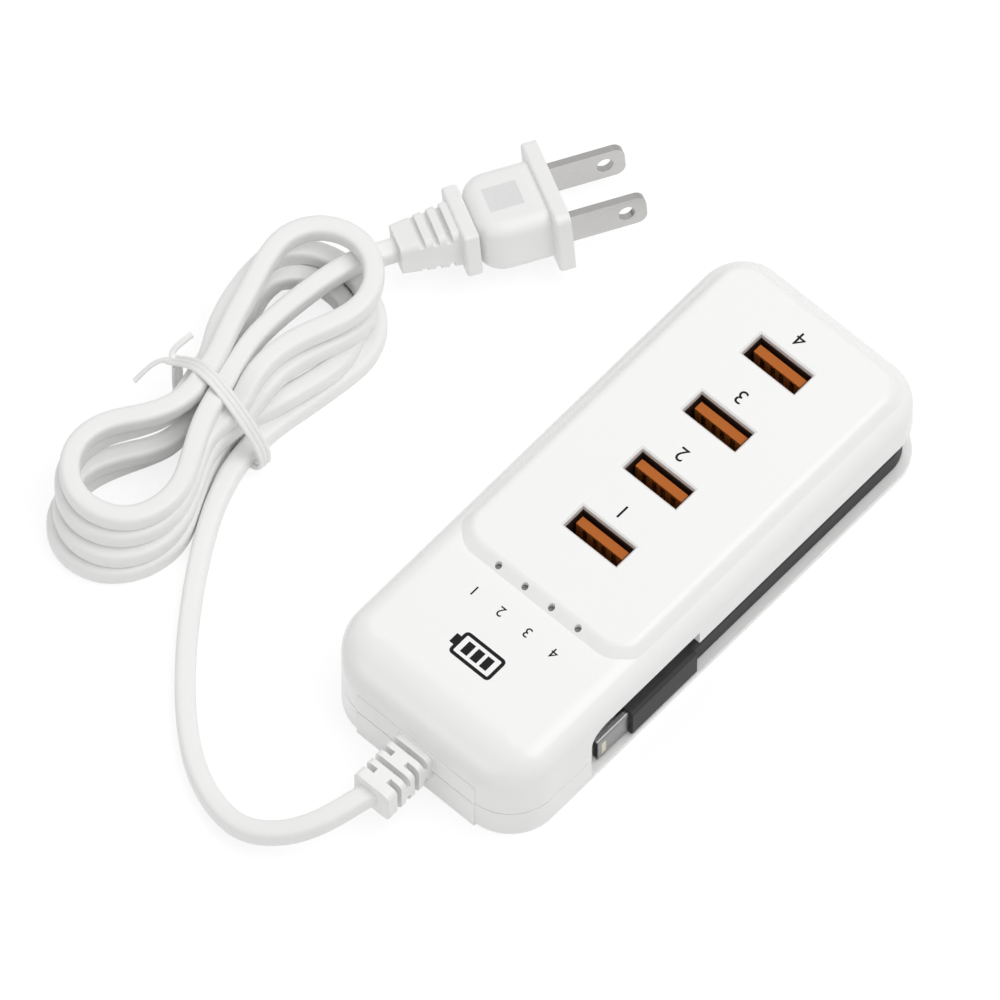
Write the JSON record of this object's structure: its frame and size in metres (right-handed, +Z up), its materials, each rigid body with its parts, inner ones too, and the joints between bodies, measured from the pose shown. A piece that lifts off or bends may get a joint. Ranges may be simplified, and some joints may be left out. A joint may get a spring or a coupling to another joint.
{
  "type": "usb power strip",
  "caption": "Long rounded USB charger block with a raised port plateau, a stowed charge cable in a side groove and a mains lead tied in a hank.",
  "frame": {"origin": "under the middle of the housing, on the surface that it stands on", "axes": "+X along the housing, away from the mains lead; +Y away from the side groove; +Z up"},
  "size_m": [0.1481, 0.1149, 0.024],
  "materials": {
    "housing_white": "gloss white moulded ABS",
    "socket_steel": "folded nickel-plated steel sheet",
    "socket_orange": "orange moulded insulator",
    "contact_gold": "gold-flashed spring contact",
    "light_clear": "translucent moulded light pipe",
    "lamp_yellow": "resin-filled lamp",
    "board_green": "solder-masked board",
    "ferrite_grey": "sintered ferrite",
    "bobbin_black": "moulded bobbin",
    "winding_yellow": "polyester tape over copper wire",
    "can_sleeve": "shrink sleeve over aluminium can",
    "fuse_glass": "clear glass tube",
    "film_yellow": "boxed film capacitor",
    "choke_copper": "enamelled copper winding",
    "chip_black": "moulded epoxy package",
    "screw_steel": "zinc-plated self-tapping screw",
    "lead_insulation": "PVC insulated wire",
    "cord_white": "soft white PVC cord",
    "plug_white": "moulded white PVC",
    "blade_nickel": "nickel-plated brass blade",
    "cable_black": "matt black elastomer",
    "tip_steel": "drawn stainless sleeve",
    "tip_black": "moulded black insert"
  },
  "bodies": {
    "root": {"bottom_housing": "housing_white", "bridge_rectifier": "chip_black", "bulk_capacitor_1": "can_sleeve", "bulk_capacitor_2": "can_sleeve", "charge_cable": "cable_black", "charge_leads": "lead_insulation", "charge_plug_boot": "cable_black", "charge_plug_contacts": "contact_gold", "charge_plug_core": "tip_black", "charge_plug_shell": "tip_steel", "cord_grip": "plug_white", "cord_hank": "cord_white", "cord_tail": "cord_white", "housing_screws": "screw_steel", "light_pipe_1": "light_clear", "light_pipe_2": "light_clear", "light_pipe_3": "light_clear", "light_pipe_4": "light_clear", "line_choke": "choke_copper", "main_board": "board_green", "mains_cord": "cord_white", "mains_fuse": "fuse_glass", "mains_leads": "lead_insulation", "output_capacitor_1": "can_sleeve", "output_capacitor_2": "can_sleeve", "output_rectifier": "chip_black", "plug_blade_1": "blade_nickel", "plug_blade_2": "blade_nickel", "plug_body": "plug_white", "power_controller": "chip_black", "safety_capacitor": "film_yellow", "status_led_1": "lamp_yellow", "status_led_2": "lamp_yellow", "status_led_3": "lamp_yellow", "status_led_4": "lamp_yellow", "top_housing": "housing_white", "transformer_bobbin": "bobbin_black", "transformer_core": "ferrite_grey", "transformer_winding": "winding_yellow", "twist_tie": "cord_white", "usb_contacts_1": "contact_gold", "usb_contacts_2": "contact_gold", "usb_contacts_3": "contact_gold", "usb_contacts_4": "contact_gold", "usb_shell_1": "socket_steel", "usb_shell_2": "socket_steel", "usb_shell_3": "socket_steel", "usb_shell_4": "socket_steel", "usb_tongue_1": "socket_orange", "usb_tongue_2": "socket_orange", "usb_tongue_3": "socket_orange", "usb_tongue_4": "socket_orange"}
  },
  "joints": []
}
